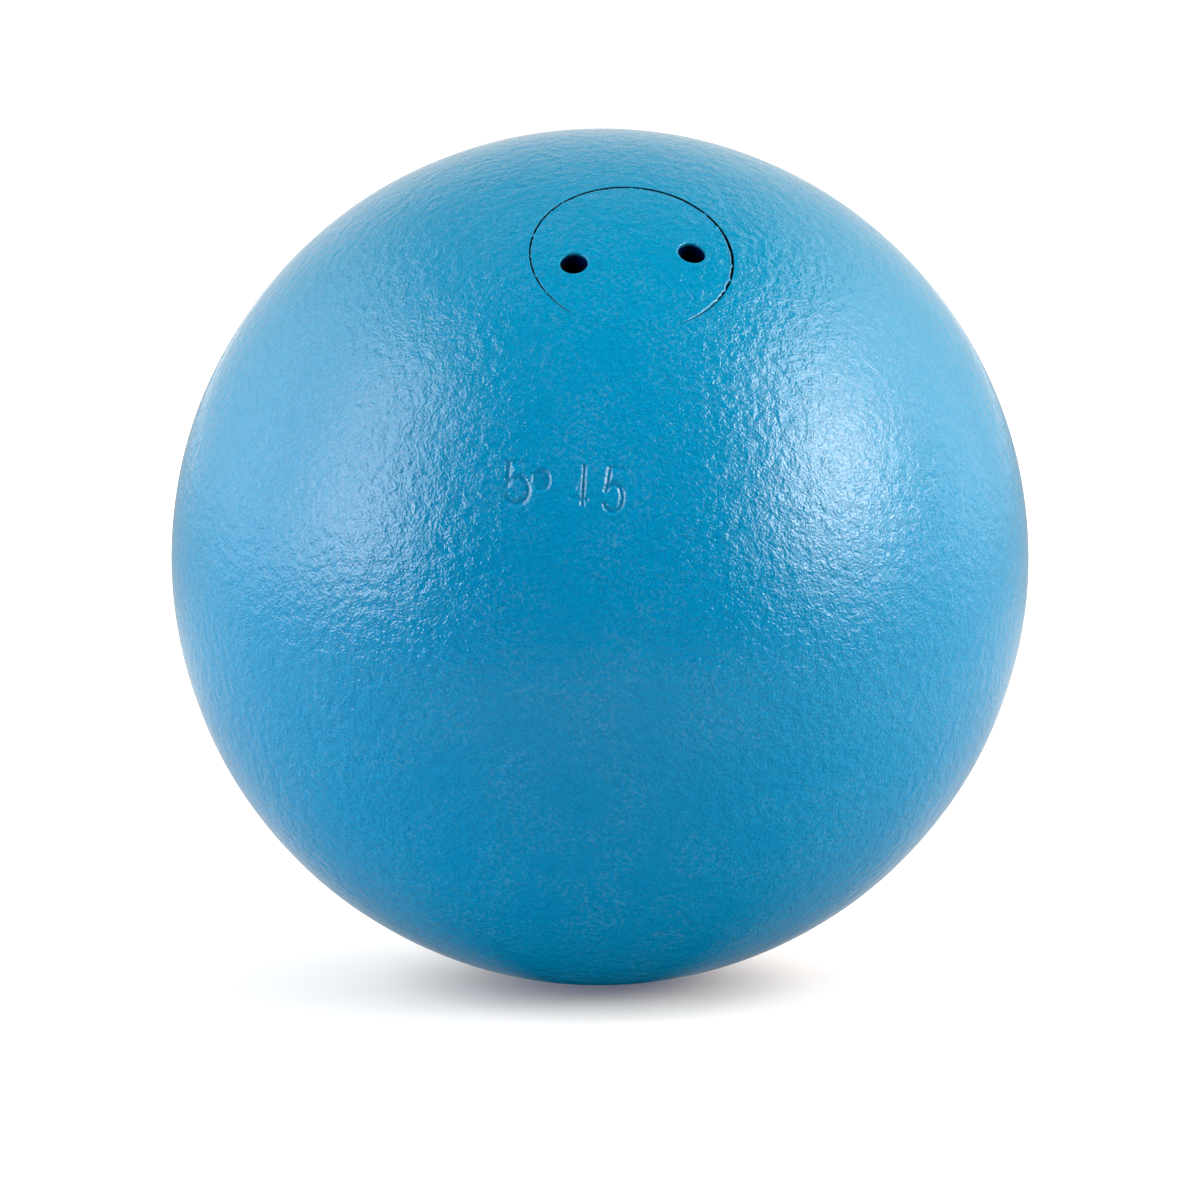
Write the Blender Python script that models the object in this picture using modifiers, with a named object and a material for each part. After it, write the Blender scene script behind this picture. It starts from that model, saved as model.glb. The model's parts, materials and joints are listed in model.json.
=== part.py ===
# Shot put of the 5.45 kg class: a grey iron ball, drilled and loaded to weight, closed by a screw plug.
# The origin is the ball's centre. +Z is up as the ball stands, and -Y is its front.
# The plug's axis leans forward from upright. Every piece lies on that axis and hangs from one empty on it.

import math

import bmesh
import bpy
from mathutils import Matrix

# Ball
CIRCUMFERENCE = 0.360          # round the ball
BALL_RADIUS = CIRCUMFERENCE / (2 * math.pi)
PLUG_TILT = 40.0               # degrees that the plug's axis leans forward from upright
BOTTOM_WALL = 0.0155           # iron left under the drill point
DRILL_POINT = 118.0            # degrees, full angle of the drill's tip

# Plug head and the counterbore that holds it
HEAD_RADIUS = 0.0129
HEAD_GAP = 0.0003              # round the head
SEAT_DEPTH = 0.008             # ball surface to counterbore floor, on the axis
SEAT_GAP = 0.0003              # under the head
SPANNER_HOLE_RADIUS = 0.0019
SPANNER_SPACING = 0.0154       # between the two hole centres
SPANNER_TURN = 6.1             # degrees from +X to the line through the holes
SPANNER_OFFSET = 0.0011        # the pair sits this far off the axis, towards the front
SPANNER_WEB = 0.0012           # metal left under the holes, above the seat

# Thread, right-handed, M22 x 2.5
THREAD_RADIUS = 0.011          # nominal outer radius
THREAD_PITCH = 0.0025
THREAD_HEIGHT = 0.00135
THREAD_CREST = 0.00035         # width of the plug thread's flat crest
THREAD_GAP = 0.0002            # between the two threads, across and along the axis
THREAD_FLANK = 30.0            # degrees, half the thread's angle
THREAD_SINK = 0.0003           # how far a thread's foot runs under the surface it joins
THREAD_FADE = 0.3              # turns over which a thread dies out at its end
SHANK_LENGTH = 0.014           # plug, below its head
SHANK_CHAMFER = 0.001
NECK_LENGTH = 0.0015           # plain neck under the head
NECK_RELIEF = 0.0003           # how far the neck lies under the thread's foot
TAP_RUNOUT = 0.002             # the tapped hole is this much longer than the shank
TAP_CHAMFER = 0.0003           # the tapped mouth opens this much wider than the thread

# Load and packing inside the chamber
PELLET_RADIUS = 0.0023
PELLET_COUNT = 36
PELLET_GAP = 0.00015           # between pellets, and from pellets to iron
WAD_THICKNESS = 0.003          # felt over the pellets
PAD_THICKNESS = 0.004          # felt under the plug
FELT_ROUND = 0.0006
DOWEL_CHAMFER = 0.001
PACKING_GAP = 0.0003           # round and between the wad, dowel, pad and plug

# Fineness of the round shapes
SEGMENTS = 60                  # round the ball and the plug
THREAD_STEPS = 30              # round each turn of thread
THREAD_START = 0.25            # of a step, keeps the threads' edges off those of the turned bodies
SMALL_SEGMENTS = 30            # round the packing and the spanner holes
ARC_STEP = 6.0                 # degrees along the ball's profile
MERGE = 0.00001
SHARP_ANGLE = 30.0

# Worked out from the sizes above
SEAT_HEIGHT = BALL_RADIUS - SEAT_DEPTH
SHOULDER_HEIGHT = SEAT_HEIGHT + SEAT_GAP
SHANK_END = SHOULDER_HEIGHT - SHANK_LENGTH
COUNTERBORE_RADIUS = HEAD_RADIUS + HEAD_GAP
CREST_RADIUS = THREAD_RADIUS - THREAD_GAP / 2
CORE_RADIUS = CREST_RADIUS - THREAD_HEIGHT
BORE_RADIUS = CORE_RADIUS + THREAD_GAP
ROOT_RADIUS = CREST_RADIUS + THREAD_GAP
POINT_SLOPE = 1 / math.tan(math.radians(DRILL_POINT / 2))
DRILL_TIP = BOTTOM_WALL - BALL_RADIUS
CHAMBER_FLOOR = DRILL_TIP + BORE_RADIUS * POINT_SLOPE
PACKING_RADIUS = BORE_RADIUS - PACKING_GAP
PAD_TOP = SHANK_END - PACKING_GAP
DOWEL_TOP = PAD_TOP - PAD_THICKNESS - PACKING_GAP

# Finishes: colour (linear), metallic, roughness
BLUE_ENAMEL = ((0.004, 0.230, 0.500), 0.0, 0.38)
LEAD = ((0.160, 0.165, 0.175), 0.9, 0.55)
FELT = ((0.330, 0.300, 0.260), 0.0, 0.95)
BEECH = ((0.500, 0.310, 0.160), 0.0, 0.60)


def clear_scene():
    for obj in list(bpy.data.objects):
        bpy.data.objects.remove(obj, do_unlink=True)


def new_collection(name):
    group = bpy.data.collections.new(name)
    bpy.context.scene.collection.children.link(group)
    return group


def place(obj, group, parent):
    for old in list(obj.users_collection):
        old.objects.unlink(obj)
    group.objects.link(obj)
    obj.parent = parent
    return obj


def paint(obj, finish):
    colour, metallic, roughness = finish
    material = bpy.data.materials.new(obj.name + "_finish")
    material.use_nodes = True
    shader = material.node_tree.nodes["Principled BSDF"]
    shader.inputs["Base Color"].default_value = (*colour, 1.0)
    shader.inputs["Metallic"].default_value = metallic
    shader.inputs["Roughness"].default_value = roughness
    material.diffuse_color = (*colour, 1.0)
    obj.data.materials.clear()
    obj.data.materials.append(material)
    return obj


def angle_off_axis(radius):
    # Degrees from the plug's axis to the point of the ball's surface this far off it
    return math.degrees(math.asin(radius / BALL_RADIUS))


def sphere_arc(first_angle, last_angle):
    # The ball's own profile between two angles from the plug's axis, in degrees
    count = math.ceil((last_angle - first_angle) / ARC_STEP)
    angles = [math.radians(first_angle + (last_angle - first_angle) * i / count) for i in range(count + 1)]
    return [(BALL_RADIUS * math.sin(a), BALL_RADIUS * math.cos(a)) for a in angles]


def turned(name, profile, group, parent):
    # A solid turned about the plug's axis, from (radius, height) points
    mesh = bpy.data.meshes.new(name)
    edges = [(i, i + 1) for i in range(len(profile) - 1)]
    mesh.from_pydata([(radius, 0, height) for radius, height in profile], edges, [])
    obj = bpy.data.objects.new(name, mesh)
    screw = obj.modifiers.new("Turn", "SCREW")
    screw.steps = SEGMENTS
    screw.render_steps = SEGMENTS
    screw.use_merge_vertices = True
    screw.merge_threshold = MERGE
    return place(obj, group, parent)


def make_cutter(obj):
    obj.hide_render = True
    obj.display_type = "WIRE"
    return obj


def combine(obj, operation, tool):
    boolean = obj.modifiers.new(tool.name, "BOOLEAN")
    boolean.operation = operation
    boolean.object = tool
    boolean.solver = "EXACT"


def settle_shape(obj):
    # Keeps the shape that the modifiers give, shaded smooth but for its real edges
    bpy.context.view_layer.update()
    evaluated = obj.evaluated_get(bpy.context.evaluated_depsgraph_get())
    mesh = bpy.data.meshes.new_from_object(evaluated)
    mesh.name = obj.name
    obj.modifiers.clear()
    obj.data = mesh
    mesh.shade_smooth()
    mesh.set_sharp_from_angle(angle=math.radians(SHARP_ANGLE))
    return obj


def thread_section(inner, outer, grow):
    # (radius, height) corners of a thread's section, each flank moved out by grow
    def half_width(radius):
        return THREAD_CREST / 2 + (CREST_RADIUS - radius) * math.tan(math.radians(THREAD_FLANK)) + grow

    return [(inner, -half_width(inner)), (outer, -half_width(outer)),
            (outer, half_width(outer)), (inner, half_width(inner))]


def sweep_thread(name, section, low, high, fade_top, group, parent):
    # Winds a section up its helix. Height sets the angle, so all threads made here mesh.
    rise = THREAD_PITCH / THREAD_STEPS
    start = round(low / rise) + THREAD_START
    steps = round((high - low) / rise)
    bm = bmesh.new()
    corners = [bm.verts.new((radius, 0, start * rise + height)) for radius, height in section]
    face = bm.faces.new(corners)
    turn = math.tau / THREAD_STEPS
    bmesh.ops.rotate(bm, verts=corners, cent=(0, 0, 0), matrix=Matrix.Rotation(start * turn, 3, "Z"))
    bmesh.ops.spin(bm, geom=[face, *face.edges, *face.verts], cent=(0, 0, 0), axis=(0, 0, 1),
                   dvec=(0, 0, rise), angle=steps * turn, steps=steps)
    bm.verts.index_update()
    deep = section[1][0] - section[0][0]
    for vert in bm.verts:
        step = vert.index // len(section)
        turns_from_end = step / THREAD_STEPS
        if fade_top:
            turns_from_end = min(turns_from_end, (steps - step) / THREAD_STEPS)
        if turns_from_end < THREAD_FADE:
            radius = math.hypot(vert.co.x, vert.co.y)
            drop = deep * (1 - turns_from_end / THREAD_FADE)
            vert.co.x *= (radius - drop) / radius
            vert.co.y *= (radius - drop) / radius
    bmesh.ops.recalc_face_normals(bm, faces=bm.faces)
    mesh = bpy.data.meshes.new(name)
    bm.to_mesh(mesh)
    bm.free()
    return make_cutter(place(bpy.data.objects.new(name, mesh), group, parent))


def disc(name, radius, bottom, top, rounding, segments, group, parent):
    # A round bar or disc on the plug's axis, with its rims rounded or chamfered
    bpy.ops.mesh.primitive_cylinder_add(vertices=SMALL_SEGMENTS, radius=radius, depth=top - bottom)
    obj = bpy.context.object
    obj.name = name
    obj.data.name = name
    for vert in obj.data.vertices:
        vert.co.z += (top + bottom) / 2
    bevel = obj.modifiers.new("Rims", "BEVEL")
    bevel.width = rounding
    bevel.segments = segments
    bevel.limit_method = "ANGLE"
    bevel.angle_limit = math.radians(SHARP_ANGLE)
    return settle_shape(place(obj, group, parent))


def make_ball(parts, cutters, parent):
    # Bored from the plug's seat down to the drill point, with the counterbore above
    mouth = ROOT_RADIUS + TAP_CHAMFER
    profile = [(0, DRILL_TIP), (BORE_RADIUS, CHAMBER_FLOOR),
               (BORE_RADIUS, SEAT_HEIGHT - (mouth - BORE_RADIUS)), (mouth, SEAT_HEIGHT),
               (COUNTERBORE_RADIUS, SEAT_HEIGHT)]
    profile += sphere_arc(angle_off_axis(COUNTERBORE_RADIUS), 180)
    ball = turned("cast_ball", profile, parts, parent)
    section = thread_section(BORE_RADIUS - THREAD_SINK, ROOT_RADIUS, THREAD_GAP)
    tap = sweep_thread("tap", section, SHANK_END - TAP_RUNOUT, SEAT_HEIGHT + THREAD_PITCH, False,
                       cutters, parent)
    combine(ball, "DIFFERENCE", tap)
    return paint(settle_shape(ball), BLUE_ENAMEL)


def make_plug(parts, cutters, parent):
    # Domed head flush with the ball, plain neck, threaded shank, and two blind holes for a pin spanner
    neck = CORE_RADIUS - NECK_RELIEF
    profile = sphere_arc(0, angle_off_axis(HEAD_RADIUS))
    profile += [(HEAD_RADIUS, SHOULDER_HEIGHT), (neck, SHOULDER_HEIGHT),
                (neck, SHOULDER_HEIGHT - NECK_LENGTH), (CORE_RADIUS, SHOULDER_HEIGHT - NECK_LENGTH),
                (CORE_RADIUS, SHANK_END + SHANK_CHAMFER), (CORE_RADIUS - SHANK_CHAMFER, SHANK_END),
                (0, SHANK_END)]
    plug = turned("screw_plug", profile, parts, parent)
    section = thread_section(CORE_RADIUS - THREAD_SINK, CREST_RADIUS, 0)
    half_foot = section[3][1]
    ridge = sweep_thread("plug_thread", section, SHANK_END + SHANK_CHAMFER + half_foot,
                         SHOULDER_HEIGHT - NECK_LENGTH - half_foot, True, cutters, parent)
    combine(plug, "UNION", ridge)
    floor = SHOULDER_HEIGHT + SPANNER_WEB
    for side, (x, y) in zip(("left", "right"), spanner_points()):
        bpy.ops.mesh.primitive_cylinder_add(vertices=SMALL_SEGMENTS, radius=SPANNER_HOLE_RADIUS,
                                            depth=BALL_RADIUS - floor)
        hole = bpy.context.object
        hole.name = "spanner_hole_" + side
        hole.location = (x, y, (BALL_RADIUS + floor) / 2)
        combine(plug, "DIFFERENCE", make_cutter(place(hole, cutters, parent)))
    return paint(settle_shape(plug), BLUE_ENAMEL)


def spanner_points():
    # Left hole, then right hole, in the plane across the plug's axis
    turn = math.radians(SPANNER_TURN)
    reach = SPANNER_SPACING / 2
    return [(side * reach * math.cos(turn), side * reach * math.sin(turn) - SPANNER_OFFSET)
            for side in (-1, 1)]


def pellet_spots():
    # Drops each pellet straight down to the lowest place that the cone and the pellets below leave it
    apart = 2 * PELLET_RADIUS + PELLET_GAP
    off_cone = (PELLET_RADIUS + PELLET_GAP) / math.sin(math.radians(DRILL_POINT / 2))
    outer = BORE_RADIUS - PELLET_RADIUS - PELLET_GAP
    rings = [0.0, outer - apart * 0.62, outer, outer - apart * 0.97]
    spots = []
    layer = 0
    while len(spots) < PELLET_COUNT:
        radius = rings[layer] if layer < len(rings) else rings[2 + layer % 2]
        fit = 1 if radius < apart / 2 else int(math.pi / math.asin(apart / 2 / radius))
        for i in range(min(fit, PELLET_COUNT - len(spots))):
            angle = math.tau * (i + 0.5 * layer) / fit
            x, y = radius * math.cos(angle), radius * math.sin(angle)
            height = DRILL_TIP + off_cone + radius * POINT_SLOPE
            for ox, oy, oz in spots:
                across = math.hypot(x - ox, y - oy)
                if across < apart:
                    height = max(height, oz + math.sqrt(apart ** 2 - across ** 2))
            spots.append((x, y, height))
        layer += 1
    return spots


def make_pellets(parts, parent):
    # Loose lead shot that brings the ball to weight, each pellet its own piece
    spots = pellet_spots()
    bpy.ops.mesh.primitive_ico_sphere_add(subdivisions=2, radius=PELLET_RADIUS)
    first = place(bpy.context.object, parts, parent)
    first.name = "lead_pellet_01"
    first.data.name = "lead_pellet"
    first.data.shade_smooth()
    paint(first, LEAD)
    first.location = spots[0]
    for number, spot in enumerate(spots[1:], start=2):
        pellet = place(bpy.data.objects.new(f"lead_pellet_{number:02d}", first.data), parts, parent)
        pellet.location = spot
    return max(spot[2] for spot in spots) + PELLET_RADIUS


def make_packing(top_of_load, parts, parent):
    # Felt wad on the load, dowel that fills the chamber, and felt pad under the plug
    wad_bottom = top_of_load + PACKING_GAP
    wad_top = wad_bottom + WAD_THICKNESS
    pieces = [("felt_wad", wad_bottom, wad_top, FELT_ROUND, 2, FELT),
              ("spacer_dowel", wad_top + PACKING_GAP, DOWEL_TOP, DOWEL_CHAMFER, 1, BEECH),
              ("felt_pad", PAD_TOP - PAD_THICKNESS, PAD_TOP, FELT_ROUND, 2, FELT)]
    for name, bottom, top, rounding, segments, finish in pieces:
        paint(disc(name, PACKING_RADIUS, bottom, top, rounding, segments, parts, parent), finish)


def main():
    clear_scene()
    parts = new_collection("shot_put")
    cutters = new_collection("cutters")
    axis = bpy.data.objects.new("plug_axis", None)
    axis.rotation_euler = (math.radians(PLUG_TILT), 0, 0)
    place(axis, parts, None)
    make_ball(parts, cutters, axis)
    make_plug(parts, cutters, axis)
    top_of_load = make_pellets(parts, axis)
    make_packing(top_of_load, parts, axis)


main()
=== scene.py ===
# Shot put, 36 cm round: blue enamel sprayed over cast iron, a flush screw plug, and the load inside.
# Settings are in millimetres and degrees. Every piece is laid out about the plug's axis, as the real one
# is turned, and then put in its place in the ball.

import math

import bmesh
import bpy
import numpy as np
from mathutils import Matrix, Vector, geometry, noise
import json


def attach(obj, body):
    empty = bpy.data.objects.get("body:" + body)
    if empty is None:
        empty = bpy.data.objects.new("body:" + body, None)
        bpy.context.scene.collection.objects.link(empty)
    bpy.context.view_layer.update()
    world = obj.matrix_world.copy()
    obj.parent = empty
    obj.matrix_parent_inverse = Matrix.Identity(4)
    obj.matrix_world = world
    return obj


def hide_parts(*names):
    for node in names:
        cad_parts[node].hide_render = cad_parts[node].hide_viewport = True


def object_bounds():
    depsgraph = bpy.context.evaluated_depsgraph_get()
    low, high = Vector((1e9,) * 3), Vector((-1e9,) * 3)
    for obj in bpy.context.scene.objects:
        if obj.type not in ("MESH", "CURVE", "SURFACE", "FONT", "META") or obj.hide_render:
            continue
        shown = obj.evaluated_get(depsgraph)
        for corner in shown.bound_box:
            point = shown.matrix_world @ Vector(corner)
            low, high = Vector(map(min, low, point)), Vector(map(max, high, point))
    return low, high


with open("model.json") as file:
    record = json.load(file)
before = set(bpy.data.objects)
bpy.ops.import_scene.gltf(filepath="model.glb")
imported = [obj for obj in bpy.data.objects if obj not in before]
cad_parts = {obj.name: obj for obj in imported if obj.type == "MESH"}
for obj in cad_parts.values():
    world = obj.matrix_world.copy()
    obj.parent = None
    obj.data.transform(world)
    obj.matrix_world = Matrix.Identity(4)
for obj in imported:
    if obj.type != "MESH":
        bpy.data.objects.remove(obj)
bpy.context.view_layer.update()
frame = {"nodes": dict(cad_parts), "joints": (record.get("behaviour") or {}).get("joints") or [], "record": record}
print("frame:", len(frame["nodes"]), "solids")

mm = 0.001
sharpFrom = 40               # degrees between two faces from which their edge shows

# The plug's own frame: Z out along its axis, X to the ball's right
plugAxis = Vector(frame["joints"][0]["axis"]).normalized()
toRight = Vector((1, 0, 0))
plugFrame = Matrix((toRight, plugAxis.cross(toRight), plugAxis)).transposed().to_4x4()


def intoPlugFrame(point):
    return plugFrame.inverted() @ Vector(point) / mm


def outFrom(azimuth, elevation):
    # Direction out from the ball's centre: degrees from its front towards its right, and degrees up
    turn, climb = math.radians(azimuth), math.radians(elevation)
    return Vector((math.sin(turn) * math.cos(climb), -math.cos(turn) * math.cos(climb), math.sin(climb)))


def reachOf(node):
    # Outer radius, lowest and highest point of a CAD solid about the plug's axis
    spots = np.array([intoPlugFrame(v.co) for v in frame["nodes"][node].data.vertices])
    return np.hypot(spots[:, 0], spots[:, 1]).max(), spots[:, 2].min(), spots[:, 2].max()


ballRadius = max(v.co.length for v in frame["nodes"]["cast_ball"].data.vertices) / mm
headRadius, shankEnd, _ = reachOf("screw_plug")


# Materials

def linear(hexColour):
    channels = [int(hexColour[i:i + 2], 16) / 255 for i in (1, 3, 5)]
    return (*[c / 12.92 if c <= 0.04045 else ((c + 0.055) / 1.055) ** 2.4 for c in channels], 1)


def grey(value):
    return (value, value, value, 1)


def feed(tree, node, inputs):
    # Fills a node's inputs. A socket is linked, a node is linked by its first output, anything else is set.
    for name, value in inputs.items():
        if isinstance(value, bpy.types.Node):
            value = next(output for output in value.outputs if output.enabled)
        if isinstance(value, bpy.types.NodeSocket):
            tree.links.new(value, node.inputs[name])
        else:
            node.inputs[name].default_value = value


def addNode(tree, kind, inputs=None, stops=(), **settings):
    # Adds a node with its settings and links, and the stops of a colour ramp
    node = tree.nodes.new("ShaderNode" + kind)
    for name, value in settings.items():
        setattr(node, name, value)
    feed(tree, node, inputs or {})
    if stops:
        elements = node.color_ramp.elements
        while len(elements) < len(stops):
            elements.new(0.5)
        for element, (position, colour) in zip(elements, stops):
            element.position = position
            element.color = colour
    return node


def newMaterial(name, inputs):
    material = bpy.data.materials.new(name)
    material.use_nodes = True
    tree = material.node_tree
    shader = tree.nodes["Principled BSDF"]
    feed(tree, shader, inputs)
    # Patterns are laid out in the plug's frame, as the pieces are
    place = addNode(tree, "Mapping", {"Vector": addNode(tree, "TexCoord").outputs["Object"],
                                      "Rotation": plugFrame.inverted().to_euler()})
    return material, tree, shader, place


def cellsOf(size):
    # Noise scale whose cells have this size in millimetres
    return 1 / (size * mm)


def linesOf(spacing):
    # Wave scale whose lines lie this many millimetres apart
    return cellsOf(spacing) / math.tau


def tones(finish):
    return [(level, linear(colour)) for level, colour in finish["tones"]]


enamel = {
    "paintedDimBlue": "#008cac",       # painted a little dimmer, at the top and the back
    "paintedLitBlue": "#008cbe",      # painted a little brighter, low in front, for how the light falls there
    "paintedLitWay": (0, -0.5, -0.87),        # direction from the ball's centre where the painted light is strongest
    "flecks": (0.66, 1.34),  # darkest and lightest pigment fleck
    "fleckRange": (0.25, 0.75),          # noise levels that they stand for
    "scuff": "#629fbe",
    "scuffEdge": (0.5, 0.63),            # noise level where a scuff begins and is whole
    "patchEdge": (0.38, 0.62),
    "scuffShare": (0.03, 0.32),          # least and most scuffing, from patch to patch
    # painted shade: navy where the surface lies below the ball's round, in holes, crack and numerals
    "grimeAndPaintedShade": "#02143c",
    "paintedShadeDepth": (0.08, 0.55),          # under the ball's surface, where the painted shade begins and is whole
    "waveHeight": 0.25,
    "peelHeight": 0.088,
    "roughness": (0.04, 0.08),
    "hazeRange": (0.3, 0.7),             # noise levels for the least and the most of it
    # size, detail and roughness of each noise
    "noises": {"flecks": (0.17, 2, 0.5), "scuffs": (0.55, 3, 0.65), "patches": (8, 3, 0.5),
               "haze": (3, 4, 0.5), "waves": (1.5, 2, 0.5), "peel": (0.3, 1, 0.5)},
}


def sprayedBlueEnamel():
    # Enamel: glossy paint over a sand-cast skin. Its fine ripple breaks every reflection into bright specks.
    material, tree, shader, place = newMaterial("sprayedBlueEnamel", {"IOR": 1.5})
    noises = {name: addNode(tree, "TexNoise", {"Vector": place, "Scale": cellsOf(size), "Detail": detail,
                                               "Roughness": roughness})
              for name, (size, detail, roughness) in enamel["noises"].items()}

    # Painted light: the blue is a little brighter low in front and dimmer at the top and back
    along = addNode(tree, "VectorMath", {0: place, 1: intoPlugFrame(enamel["paintedLitWay"]).normalized()},
                    operation="DOT_PRODUCT")
    paintedLightShare = addNode(tree, "MapRange", {"Value": along, "From Min": -ballRadius * mm,
                                      "From Max": ballRadius * mm})
    colour = addNode(tree, "Mix", {"Factor": paintedLightShare, "A": linear(enamel["paintedDimBlue"]), "B": linear(enamel["paintedLitBlue"])},
                     data_type="RGBA")
    (lowest, highest), (dark, light) = enamel["fleckRange"], enamel["flecks"]
    pigment = addNode(tree, "MapRange", {"Value": noises["flecks"], "From Min": lowest, "From Max": highest,
                                         "To Min": dark, "To Max": light})
    colour = addNode(tree, "VectorMath", {0: colour, 1: pigment}, operation="MULTIPLY")

    (begins, whole), (few, many) = enamel["scuffEdge"], enamel["scuffShare"]
    rubbed = addNode(tree, "ValToRGB", {"Fac": noises["scuffs"]}, [(begins, grey(0)), (whole, grey(1))])
    begins, whole = enamel["patchEdge"]
    worn = addNode(tree, "ValToRGB", {"Fac": noises["patches"]}, [(begins, grey(few)), (whole, grey(many))])
    scuffs = addNode(tree, "Math", {0: rubbed, 1: worn}, operation="MULTIPLY")
    colour = addNode(tree, "Mix", {"Factor": scuffs, "A": colour, "B": linear(enamel["scuff"])},
                     data_type="RGBA")

    # Painted shade: the blue darkens to navy with depth under the ball's surface, in the holes, at the crack's
    # edge and in the numerals' strokes
    fromCentre = addNode(tree, "VectorMath", {0: place}, operation="LENGTH")
    shallow, deep = [(ballRadius - depth) * mm for depth in enamel["paintedShadeDepth"]]
    sunk = addNode(tree, "MapRange", {"Value": fromCentre, "From Min": shallow, "From Max": deep})
    colour = addNode(tree, "Mix", {"Factor": sunk, "A": colour, "B": linear(enamel["grimeAndPaintedShade"])},
                     data_type="RGBA")

    (lowest, highest), (low, high) = enamel["hazeRange"], enamel["roughness"]
    rough = addNode(tree, "MapRange", {"Value": noises["haze"], "From Min": lowest, "From Max": highest,
                                       "To Min": low, "To Max": high})
    waves = addNode(tree, "Bump", {"Height": noises["waves"], "Strength": 1,
                                   "Distance": enamel["waveHeight"] * mm})
    peel = addNode(tree, "Bump", {"Height": noises["peel"], "Strength": 1,
                                  "Distance": enamel["peelHeight"] * mm, "Normal": waves})
    feed(tree, shader, {"Base Color": colour, "Roughness": rough, "Normal": peel})
    return material


def mottled(name, finish):
    # A material with one noise in its colour and roughness, and in its relief if no tool has left rings
    material, tree, shader, place = newMaterial(name, finish["shader"])
    spots = addNode(tree, "TexNoise", {"Vector": place, "Scale": cellsOf(finish["size"]), **finish["noise"]})
    feed(tree, shader, {"Base Color": addNode(tree, "ValToRGB", {"Fac": spots}, tones(finish))})
    if "roughness" in finish:
        low, high = finish["roughness"]
        rough = addNode(tree, "MapRange", {"Value": spots, "To Min": low, "To Max": high})
        feed(tree, shader, {"Roughness": rough})
    relief = spots
    if "rings" in finish:
        spacing, waver = finish["rings"]
        relief = addNode(tree, "TexWave", {"Vector": place, "Scale": linesOf(spacing), "Distortion": waver},
                         bands_direction="Z").outputs["Fac"]
    height, strength = finish["relief"]
    bump = addNode(tree, "Bump", {"Height": relief, "Distance": height * mm, "Strength": strength})
    feed(tree, shader, {"Normal": bump})
    return material


# Each has the size of its noise, its tones as noise levels and colours, its roughness where the noise is
# lowest and highest, the spacing and waver of the tool's rings, and the height and strength of its relief.

# Grey iron cut by drill and tap: dull, dark and faintly ringed by the tool
boredIron = {
    "shader": {"Metallic": 0.85},
    "size": 1.2,
    "noise": {"Detail": 5},
    "tones": [(0.35, "#3d3b39"), (0.7, "#6b6864")],
    "roughness": (0.38, 0.62),
    "rings": (0.35, 1.2),
    "relief": (0.01, 1),
}

# Mild steel off the lathe: bright, with feed lines too fine to show, so drawn a third of a millimetre apart
turnedSteel = {
    "shader": {"Metallic": 1},
    "size": 4,
    "noise": {"Detail": 4},
    "tones": [(0.3, "#7c7d7e"), (0.7, "#a5a6a6")],
    "roughness": (0.24, 0.42),
    "rings": (0.33, 0.3),
    "relief": (0.004, 1),
}

# Near black and quite matt, down the crack and in the holes: partly dust and old oil, partly painted shade where
# little light gets in
packedGrimeAndPaintedShade = {
    "shader": {"Roughness": 0.9},
    "size": 0.4,
    "noise": {"Detail": 4},
    "tones": [(0.35, "#06070f"), (0.75, "#12131c")],
    "relief": (0.05, 1),
}

# Lead shot: soft grey metal under a dull oxide that gathers in the hollows
castLead = {
    "shader": {"Metallic": 0.8},
    "size": 1.5,
    "noise": {"Detail": 6, "Roughness": 0.6},
    "tones": [(0.38, "#5d6165"), (0.62, "#8a8e92")],
    "roughness": (0.7, 0.42),
    "relief": (0.05, 0.6),
}

# Wool felt: short fibres pressed flat, matt, with a soft bright fuzz at grazing angles
pressedFelt = {
    "shader": {"Roughness": 0.95, "Sheen Weight": 0.4, "Sheen Roughness": 0.5},
    "size": 0.5,
    "noise": {"Detail": 8, "Roughness": 0.7, "Distortion": 2.5},
    "tones": [(0.3, "#7a7064"), (0.7, "#a89d8d")],
    "relief": (0.15, 0.8),
}


beechFinish = {
    "tones": [(0.1, "#d3a878"), (0.9, "#b98a5a")],
    "ringSpacing": 1.8,
    "pith": (20, 6, 0),      # how far off the dowel's axis the tree's own centre was
    "ringStretch": 0.06,
    "ringHeight": 0.03,
    "ray": "#7d5431",
    "raySize": 0.7,
    "rayStretch": 0.25,
    "rayEdge": [(0.08, grey(0.6)), (0.2, grey(0))],
}


def turnedBeech():
    # Beech: pale, close-grained, with rings across the ends and short dark rays along the bar
    material, tree, shader, place = newMaterial("turnedBeech", {"Roughness": 0.55})
    grain = addNode(tree, "Mapping", {"Vector": place, "Location": Vector(beechFinish["pith"]) * mm,
                                      "Scale": (1, 1, beechFinish["ringStretch"])})
    rings = addNode(tree, "TexWave", {"Vector": grain, "Scale": linesOf(beechFinish["ringSpacing"]),
                                      "Distortion": 2, "Detail": 3, "Detail Scale": 2},
                    wave_type="RINGS", rings_direction="Z")
    wood = addNode(tree, "ValToRGB", {"Fac": rings.outputs["Fac"]}, tones(beechFinish))
    rays = addNode(tree, "Mapping", {"Vector": place, "Scale": (1, 1, beechFinish["rayStretch"])})
    flecks = addNode(tree, "TexVoronoi", {"Vector": rays, "Scale": cellsOf(beechFinish["raySize"])})
    dark = addNode(tree, "ValToRGB", {"Fac": flecks}, beechFinish["rayEdge"])
    wood = addNode(tree, "Mix", {"Factor": dark, "A": wood, "B": linear(beechFinish["ray"])},
                   data_type="RGBA")
    bump = addNode(tree, "Bump", {"Height": rings.outputs["Fac"], "Distance": beechFinish["ringHeight"] * mm,
                                  "Strength": 0.5})
    feed(tree, shader, {"Base Color": wood, "Normal": bump})
    return material


# Mesh tools. Rings go round the plug's axis, and each ring may have half or twice the vertices of the last.

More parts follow.
